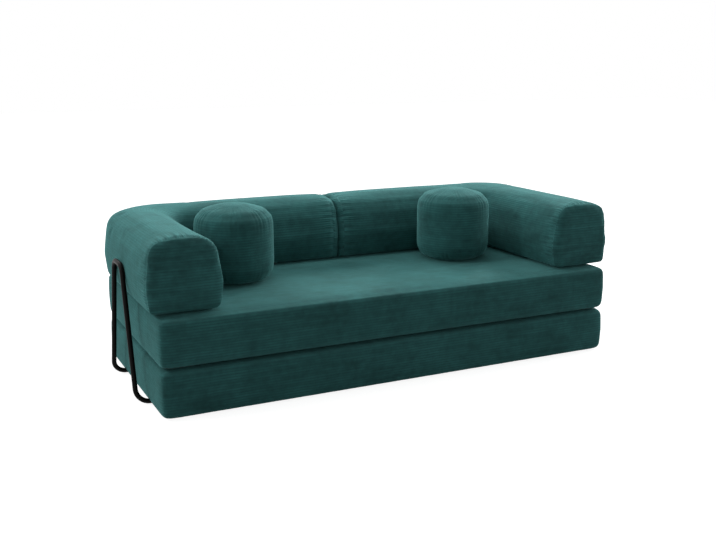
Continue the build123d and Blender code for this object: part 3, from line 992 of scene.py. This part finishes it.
class SOFA_OT_poufs(bpy.types.Operator):
    """Makes the covers of the two round poufs"""

    bl_idname = "sofa.poufs"
    bl_label = "Poufs"

    def execute(self, context):
        cloth = context.scene.sofa_cloth
        for side, _ in SIDES:
            name = f"{side}_pouf"
            nodes = [f"{name}_cover_{part}" for part in ("top", "band", "base")]
            low, high = box_of(nodes)
            centre = (low + high) / 2
            piece = block_of(
                [*nodes, f"{name}_filling", f"{name}_zip_tape"],
                f"{name}_cover",
                cloth.pouf_grain,
                12,
            )
            top_seam, base_seam = high[2] - POUF_TOP_SEAM, low[2] + POUF_BASE_SEAM
            heights = points_of(piece.data)[:, 2]
            swell_cover(piece, cloth.swell, [np.abs(heights - base_seam)], cloth.pouf_grain / 2)
            settle(piece, low - np.array([0, 0, POUF_SAG]), high, low[2])
            divide(piece)
            places = points_of(piece.data)
            tuck = np.clip(1 - (places[:, 2] - low[2]) / TUCK_HEIGHT, 0, 1) ** 2
            places[:, :2] = centre[:2] + (places[:, :2] - centre[:2]) * (1 - POUF_TUCK * tuck[:, None])
            set_points(piece.data, places)
            radius = (high[0] - low[0]) / 2
            around = np.arctan2(places[:, 1] - centre[1], places[:, 0] - centre[0]) * radius
            from_top = np.abs(places[:, 2] - top_seam)
            from_base = np.abs(places[:, 2] - base_seam)
            seams = [(from_top, around, *POUF_TOP_PULL), (from_base, around + 0.2, *POUF_BASE_PULL)]
            sew(piece, seams, cloth)
            self.open_zip(piece, name, centre)

            def ribs(places, middle, normal):
                band = (middle[:, 2] < top_seam) & (middle[:, 2] > base_seam)
                angle = np.arctan2(places[:, 1] - centre[1], places[:, 0] - centre[0])
                facing = np.arctan2(middle[:, 1] - centre[1], middle[:, 0] - centre[0])
                angle = facing + (angle - facing + math.pi) % (2 * math.pi) - math.pi
                across = np.where(band, places[:, 2], places[:, 1])
                along = np.where(band, angle * radius, places[:, 0])
                return across, along

            lay_ribs(piece, ribs)
            dress(piece, name, material_for("ribbed_corduroy", cloth), nodes)
        return {"FINISHED"}

    @staticmethod
    def open_zip(piece, name, centre):
        """Cuts the curved opening in which the pouf's zip tape lies."""
        # Where the opening starts, and how far it runs round the pouf.
        start, sweep, steps = math.radians(-14.3), math.radians(168.6), 60
        tape = np.array([list(v.co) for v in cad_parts[f"{name}_zip_tape"].data.vertices])
        inner = np.hypot(tape[:, 0] - centre[0], tape[:, 1] - centre[1]).min() - ZIP_ROOM
        outer = inner + CUT_REACH
        low, high = tape[:, 2].min() - ZIP_ROOM, tape[:, 2].max() + ZIP_ROOM
        form = bmesh.new()
        profile = [(inner, low), (outer, low), (outer, high), (inner, high)]
        corners = [
            form.verts.new(
                (centre[0] + reach * math.cos(start), centre[1] + reach * math.sin(start), height)
            )
            for reach, height in profile
        ]
        face = form.faces.new(corners)
        bmesh.ops.spin(
            form,
            geom=[*corners, *face.edges, face],
            cent=(centre[0], centre[1], 0),
            axis=(0, 0, 1),
            angle=sweep,
            steps=steps,
            use_duplicate=False,
        )
        bmesh.ops.recalc_face_normals(form, faces=form.faces)
        cut_out(piece, form)


class SOFA_OT_fillings(bpy.types.Operator):
    """Makes the foam cores and the bags of fibre inside the covers"""

    bl_idname = "sofa.fillings"
    bl_label = "Fillings"

    def execute(self, context):
        metal = context.scene.sofa_metal
        # Each filling's CAD node, its body, how fine its mesh is and how often it is smoothed.
        kinds = [(f"{name}_foam_core", name, 0.03, 4) for name in MATTRESSES]
        kinds += [(f"{side}_bolster_foam_core", f"{side}_bolster", 0.024, 6) for side, _ in SIDES]
        kinds += [(f"{side}_pouf_filling", f"{side}_pouf", 0.018, 5) for side, _ in SIDES]
        for node, body, grain, rounds in kinds:
            loose = node.endswith("filling")
            piece = block_of(
                [node],
                node.replace("foam_core", "foam").replace("filling", "fibre_bag"),
                grain,
                rounds,
            )
            places, normals = points_of(piece.data), normals_of(piece.data)
            set_points(piece.data, places - FILLING_SLACK * normals)
            slot, name = ("filling", "polyester_fibre_bag") if loose else ("foam", "polyurethane_foam")
            dress(piece, body, material_for(name, metal), [node])
        return {"FINISHED"}


class SOFA_OT_hardware(bpy.types.Operator):
    """Finishes the bent tubes, their plugs and glides, and the zips"""

    bl_idname = "sofa.hardware"
    bl_label = "Brackets and zips"

    def execute(self, context):
        metal = context.scene.sofa_metal
        finishes = {
            "bracket_tube": "satin_powder_coat",
            "end_plugs": "moulded_polyethylene",
            "floor_glides": "moulded_polyethylene",
            "zip_slider": "lacquered_zinc",
            "zip_pull": "lacquered_zinc",
            "zip_tape": "polyester_zip_tape",
        }
        for name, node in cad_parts.items():
            for ending, material in finishes.items():
                if name.endswith(ending):
                    node.data.materials.clear()
                    node.data.materials.append(material_for(material, metal))
        return {"FINISHED"}


class SOFA_OT_stage(bpy.types.Operator):
    """Sets up the camera, the lamps, the floor and the white surroundings"""

    bl_idname = "sofa.stage"
    bl_label = "Stage"

    def execute(self, context):
        stage = context.scene.sofa_stage
        camera = bpy.data.cameras.new("camera")
        camera.sensor_width = 36
        camera.lens = stage.focal_length
        camera.clip_end = 60
        eye = new_object("camera", camera)
        eye.location = stage.camera_place
        eye.rotation_euler = (math.pi / 2 - stage.camera_tilt, 0, -stage.camera_turn)
        context.scene.camera = eye
        for name, place, target, size, power in SOFTBOXES:
            self.lamp(name, place, target, size, power)
        self.floor(stage)
        self.surroundings(context)
        context.scene.view_settings.view_transform = "Standard"
        return {"FINISHED"}

    @staticmethod
    def lamp(name, place, target, size, power):
        """A rectangular softbox that faces its target."""
        light = bpy.data.lights.new(name, "AREA")
        light.shape = "RECTANGLE"
        light.size, light.size_y = size
        light.energy = power
        holder = new_object(name, light)
        holder.location = place
        holder.rotation_euler = (Vector(target) - Vector(place)).to_track_quat("-Z", "Y").to_euler()

    @staticmethod
    def floor(stage):
        """A wide floor just under the sofa."""
        form = bmesh.new()
        half_width, below_sofa = 20, 0.0005
        bmesh.ops.create_grid(form, x_segments=1, y_segments=1, size=half_width)
        bmesh.ops.translate(form, vec=(0, 0, -below_sofa), verts=form.verts)
        mesh = bpy.data.meshes.new("studio_floor")
        form.to_mesh(mesh)
        form.free()
        ground = new_object("studio_floor", mesh)
        mesh.materials.append(material_for("painted_studio_floor", stage))

    @staticmethod
    def surroundings(context):
        """White where the camera looks past the floor, and a dimmer even light on the object."""
        world = bpy.data.worlds.new("white_studio")
        context.scene.world = world
        world.use_nodes = True
        tree = world.node_tree
        tree.nodes.clear()
        seen = seen_directly(tree)
        strength = add(tree, "MapRange", {"Value": seen, "To Min": 0.31, "To Max": 1.0})
        back = add(tree, "Background", {"Color": (1, 1, 1), "Strength": strength})
        add(tree, "OutputWorld", {"Surface": back})


class SOFA_PT_panel(bpy.types.Panel):
    """The pieces of the sofa bed and the stage, in the sidebar"""

    bl_label = "Sofa bed"
    bl_idname = "SOFA_PT_panel"
    bl_space_type = "VIEW_3D"
    bl_region_type = "UI"
    bl_category = "Sofa bed"

    def draw(self, context):
        for operator in OPERATORS:
            self.layout.operator(operator.bl_idname)


OPERATORS = (
    SOFA_OT_mattresses,
    SOFA_OT_bolsters,
    SOFA_OT_poufs,
    SOFA_OT_fillings,
    SOFA_OT_hardware,
    SOFA_OT_stage,
)
CLASSES = (SofaClothSettings, SofaMetalSettings, SofaStageSettings, *OPERATORS, SOFA_PT_panel)


def register():
    for cls in CLASSES:
        bpy.utils.register_class(cls)
    bpy.types.Scene.sofa_cloth = bpy.props.PointerProperty(type=SofaClothSettings)
    bpy.types.Scene.sofa_metal = bpy.props.PointerProperty(type=SofaMetalSettings)
    bpy.types.Scene.sofa_stage = bpy.props.PointerProperty(type=SofaStageSettings)


def unregister():
    del bpy.types.Scene.sofa_cloth
    del bpy.types.Scene.sofa_metal
    del bpy.types.Scene.sofa_stage
    for cls in reversed(CLASSES):
        bpy.utils.unregister_class(cls)


def main():
    """Registers the add-on, and makes every piece and the stage."""
    register()
    bpy.ops.sofa.mattresses()
    bpy.ops.sofa.bolsters()
    bpy.ops.sofa.poufs()
    bpy.ops.sofa.fillings()
    bpy.ops.sofa.hardware()
    bpy.ops.sofa.stage()


if __name__ == "__main__":
    main()
